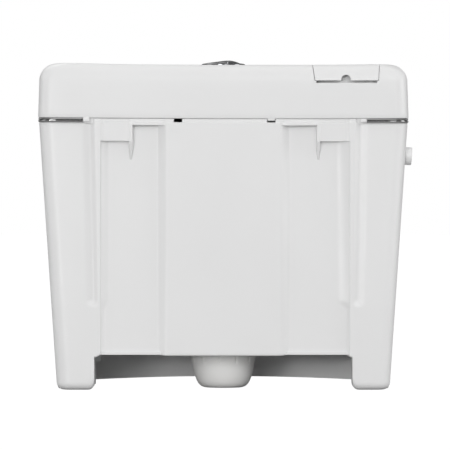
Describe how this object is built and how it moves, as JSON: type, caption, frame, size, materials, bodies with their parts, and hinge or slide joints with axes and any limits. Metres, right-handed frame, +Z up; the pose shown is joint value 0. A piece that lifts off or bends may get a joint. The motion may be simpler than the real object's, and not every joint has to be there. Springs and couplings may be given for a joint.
{
  "type": "toilet flushing cistern",
  "caption": "Tapered white plastic wall-hung flushing cistern with lift-off lid, bright seam strip, dual push button, access flap, rear hanging channels and bottom outlet nut.",
  "frame": {"origin": "on the floor plane under the middle of the tank, at the centre of the footprint", "axes": "+X across the width, towards the bottom inlet; +Y towards the wall; +Z up; the front faces -Y"},
  "size_m": [0.4064, 0.142, 0.3606],
  "materials": {
    "white_plastic": "smooth white moulded plastic, soft sheen",
    "nut_plastic": "plain white moulded plastic, fine texture",
    "valve_plastic": "white valve plastic",
    "grey_plastic": "blue-grey valve plastic",
    "rubber_seal": "black soft rubber",
    "chrome_trim": "bright chrome-plated bead",
    "dark_chrome": "dark polished chrome plating on plastic",
    "spring_steel": "stainless wire and pins"
  },
  "bodies": {
    "tank": {"tank_shell": "white_plastic", "trim_strip": "chrome_trim", "side_inlet_plug": "white_plastic", "side_plug_seal": "rubber_seal", "side_plug_nut": "valve_plastic", "valve_base": "valve_plastic", "base_gasket": "rubber_seal", "valve_lock_nut": "valve_plastic", "outlet_nut": "nut_plastic", "outlet_seal": "rubber_seal", "valve_cage": "grey_plastic", "cage_bridge": "valve_plastic", "full_lever_pin": "spring_steel", "half_lever_pin": "spring_steel", "fill_valve_shank": "valve_plastic", "fill_valve_washer": "rubber_seal", "fill_valve_nut": "valve_plastic", "fill_valve_riser": "valve_plastic", "fill_valve_head": "grey_plastic", "float_lever_pin": "spring_steel"},
    "full_rocker": {"full_lever": "grey_plastic"},
    "half_rocker": {"half_lever": "grey_plastic"},
    "flush_stem": {"overflow_tube": "valve_plastic", "valve_seal": "rubber_seal"},
    "half_float": {"half_flush_float": "grey_plastic"},
    "float_arm": {"float_lever": "valve_plastic", "float_rod": "valve_plastic", "float_cup": "valve_plastic"},
    "lid": {"lid_shell": "white_plastic", "block_basket": "valve_plastic", "button_bezel": "dark_chrome", "button_sleeve": "valve_plastic", "button_nut": "valve_plastic", "full_spring": "spring_steel", "half_spring": "spring_steel"},
    "flap": {"access_flap": "white_plastic"},
    "full_button": {"full_flush_button": "dark_chrome", "full_push_rod": "valve_plastic"},
    "half_button": {"half_flush_button": "dark_chrome", "half_push_rod": "valve_plastic"}
  },
  "joints": [
    {"name": "lid_lift", "type": "slide", "parent": "tank", "child": "lid", "axis": [0, 0, 1], "range_m": [0, 0.1]},
    {"name": "flap_hinge", "type": "hinge", "parent": "lid", "child": "flap", "pos_m": [-0.1326, 0.0255, 0.3518], "axis": [1, 0, 0], "range_deg": [0, 95]},
    {"name": "full_button_press", "type": "slide", "parent": "lid", "child": "full_button", "axis": [0, 0, -1], "range_m": [0, 0.007], "stiffness_N_per_m": 300, "springref_m": -0.003, "deforming": ["full_spring"]},
    {"name": "half_button_press", "type": "slide", "parent": "lid", "child": "half_button", "axis": [0, 0, -1], "range_m": [0, 0.007], "stiffness_N_per_m": 300, "springref_m": -0.003, "deforming": ["half_spring"]},
    {"name": "full_lever_rock", "type": "hinge", "parent": "tank", "child": "full_rocker", "pos_m": [0, 0.0261, 0.262], "axis": [0, 1, 0], "range_deg": [0, 28.9]},
    {"name": "half_lever_rock", "type": "hinge", "parent": "tank", "child": "half_rocker", "pos_m": [0, -0.0061, 0.262], "axis": [0, -1, 0], "range_deg": [0, 28.9]},
    {"name": "stem_lift", "type": "slide", "parent": "tank", "child": "flush_stem", "axis": [0, 0, 1], "range_m": [0, 0.0105]},
    {"name": "half_float_lift", "type": "slide", "parent": "tank", "child": "half_float", "axis": [0, 0, 1], "range_m": [0, 0.0105]},
    {"name": "float_arm_swing", "type": "hinge", "parent": "tank", "child": "float_arm", "pos_m": [0.13, 0.01, 0.244], "axis": [0, 1, 0], "range_deg": [0, 14]}
  ],
  "couplings": [
    {"joint": "full_lever_rock", "follows": "full_button_press", "rad_per_m": 72},
    {"joint": "stem_lift", "follows": "full_button_press", "ratio": 1.5},
    {"joint": "half_lever_rock", "follows": "half_button_press", "rad_per_m": 72},
    {"joint": "half_float_lift", "follows": "half_button_press", "ratio": 1.5}
  ]
}
